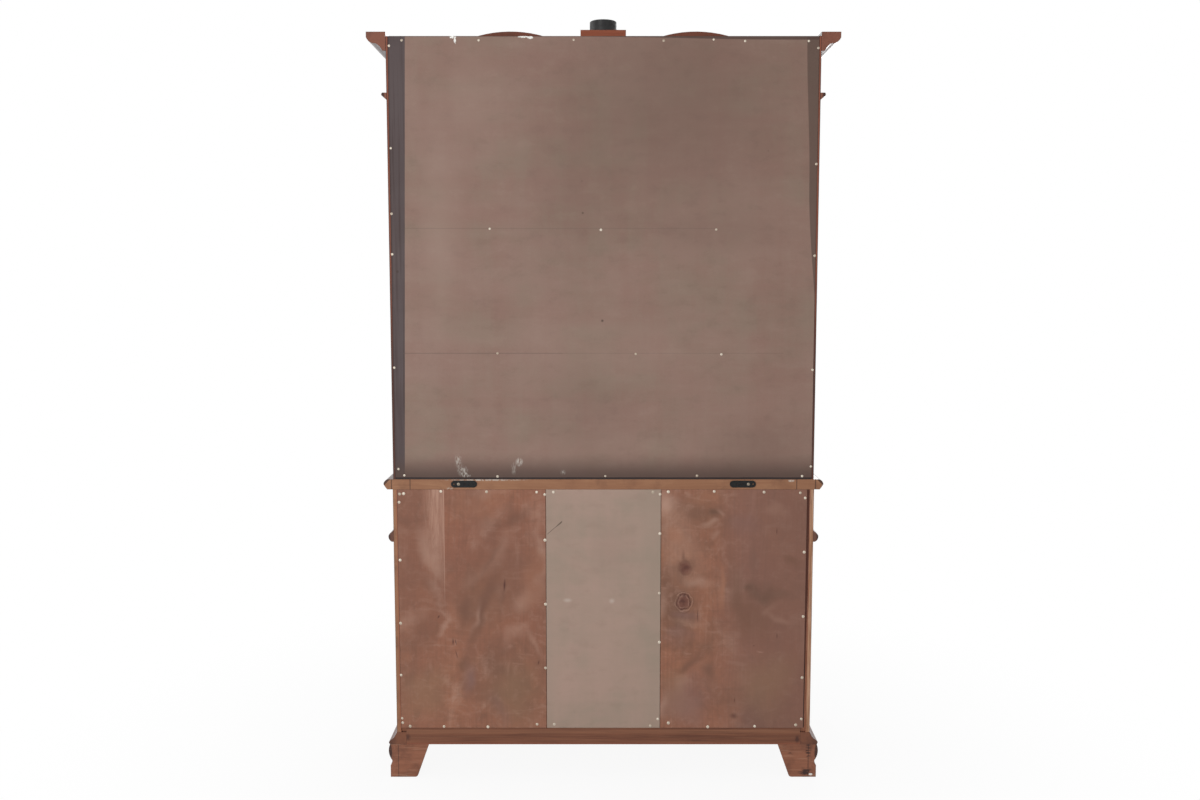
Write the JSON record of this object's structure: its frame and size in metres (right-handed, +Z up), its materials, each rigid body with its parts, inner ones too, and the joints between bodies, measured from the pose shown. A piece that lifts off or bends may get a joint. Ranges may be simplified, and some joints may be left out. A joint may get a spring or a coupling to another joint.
{
  "type": "dresser with hutch",
  "caption": "Two-piece cabinet: base on ogee bracket feet with drawers and panelled doors, and a glazed hutch under a double-arched crown.",
  "frame": {"origin": "on the floor, under the middle of the piece", "axes": "+Z up; the front faces -Y and the back +Y; +X is the right-hand side seen from the front"},
  "size_m": [1.34, 0.4832, 2.291],
  "materials": {
    "finished_wood": "dark mahogany stain, satin lacquer",
    "case_wood": "plain inner boards, thin brown stain",
    "drawer_wood": "bare pale hardwood",
    "veneer_ply": "red-brown rotary veneer plywood, unpolished",
    "hardboard": "grey-brown tempered hardboard, slight sheen",
    "brass": "aged brass",
    "glass": "clear window glass",
    "screw_nickel": "dull nickel screw heads",
    "black_steel": "black painted steel",
    "black_drum": "black, slightly worn",
    "peg_steel": "plain steel"
  },
  "bodies": {
    "cabinet": {"base_side_right": "finished_wood", "base_side_left": "finished_wood", "base_bottom": "case_wood", "base_rear_rail": "case_wood", "drawer_dividers": "case_wood", "base_face_frame": "finished_wood", "base_back_right": "veneer_ply", "base_back_left": "veneer_ply", "base_back_middle": "hardboard", "base_top": "finished_wood", "plinth_moulding": "finished_wood", "waist_moulding": "finished_wood", "front_feet": "finished_wood", "rear_feet": "finished_wood", "base_shelves": "case_wood", "shelf_pegs": "peg_steel", "hinge_leaves": "brass", "hutch_side_right": "finished_wood", "hutch_side_left": "finished_wood", "hutch_back": "hardboard", "hutch_shelves": "case_wood", "hutch_lid": "case_wood", "hutch_face_frame": "finished_wood", "astragal_moulding": "finished_wood", "crown_moulding": "finished_wood", "finial_block": "finished_wood", "finial_drum": "black_drum", "back_screws": "screw_nickel"},
    "frieze_drawer_left": {"drawer_frieze_left_front": "finished_wood", "drawer_frieze_left_box": "drawer_wood", "drawer_frieze_left_knobs": "brass"},
    "frieze_drawer_right": {"drawer_frieze_right_front": "finished_wood", "drawer_frieze_right_box": "drawer_wood", "drawer_frieze_right_knobs": "brass"},
    "frieze_drawer_middle": {"drawer_frieze_middle_front": "finished_wood", "drawer_frieze_middle_box": "drawer_wood", "drawer_frieze_middle_knobs": "brass"},
    "upper_drawer": {"drawer_upper_front": "finished_wood", "drawer_upper_box": "drawer_wood", "drawer_upper_knobs": "brass"},
    "centre_drawer": {"drawer_centre_front": "finished_wood", "drawer_centre_box": "drawer_wood", "drawer_centre_knobs": "brass"},
    "bottom_drawer": {"drawer_bottom_front": "finished_wood", "drawer_bottom_box": "drawer_wood", "drawer_bottom_knobs": "brass"},
    "left_base_door": {"base_door_left": "finished_wood", "base_door_left_fittings": "brass"},
    "right_base_door": {"base_door_right": "finished_wood", "base_door_right_fittings": "brass"},
    "left_hutch_door": {"hutch_door_left": "finished_wood", "hutch_door_left_glass": "glass", "hutch_door_left_fittings": "brass"},
    "right_hutch_door": {"hutch_door_right": "finished_wood", "hutch_door_right_glass": "glass", "hutch_door_right_fittings": "brass"},
    "left_plate": {"mending_plate_left": "black_steel"},
    "right_plate": {"mending_plate_right": "black_steel"}
  },
  "joints": [
    {"name": "frieze_drawer_left_slide", "type": "slide", "parent": "cabinet", "child": "frieze_drawer_left", "axis": [0, -1, 0], "range_m": [0, 0.3]},
    {"name": "frieze_drawer_right_slide", "type": "slide", "parent": "cabinet", "child": "frieze_drawer_right", "axis": [0, -1, 0], "range_m": [0, 0.3]},
    {"name": "frieze_drawer_middle_slide", "type": "slide", "parent": "cabinet", "child": "frieze_drawer_middle", "axis": [0, -1, 0], "range_m": [0, 0.3]},
    {"name": "upper_drawer_slide", "type": "slide", "parent": "cabinet", "child": "upper_drawer", "axis": [0, -1, 0], "range_m": [0, 0.3]},
    {"name": "centre_drawer_slide", "type": "slide", "parent": "cabinet", "child": "centre_drawer", "axis": [0, -1, 0], "range_m": [0, 0.3]},
    {"name": "bottom_drawer_slide", "type": "slide", "parent": "cabinet", "child": "bottom_drawer", "axis": [0, -1, 0], "range_m": [0, 0.3]},
    {"name": "left_base_door_hinge", "type": "hinge", "parent": "cabinet", "child": "left_base_door", "pos_m": [-0.572, -0.2186, 0.442], "axis": [0, 0, -1], "range_deg": [0, 110]},
    {"name": "right_base_door_hinge", "type": "hinge", "parent": "cabinet", "child": "right_base_door", "pos_m": [0.572, -0.2186, 0.442], "axis": [0, 0, 1], "range_deg": [0, 110]},
    {"name": "left_hutch_door_hinge", "type": "hinge", "parent": "cabinet", "child": "left_hutch_door", "pos_m": [-0.564, -0.1286, 1.467], "axis": [0, 0, -1], "range_deg": [0, 110]},
    {"name": "right_hutch_door_hinge", "type": "hinge", "parent": "cabinet", "child": "right_hutch_door", "pos_m": [0.564, -0.1286, 1.467], "axis": [0, 0, 1], "range_deg": [0, 110]},
    {"name": "left_plate_turn", "type": "hinge", "parent": "cabinet", "child": "left_plate", "pos_m": [-0.424, 0.23885, 0.89], "axis": [0, -1, 0], "range_deg": [0, 90]},
    {"name": "right_plate_turn", "type": "hinge", "parent": "cabinet", "child": "right_plate", "pos_m": [0.424, 0.23885, 0.89], "axis": [0, 1, 0], "range_deg": [0, 90]}
  ]
}
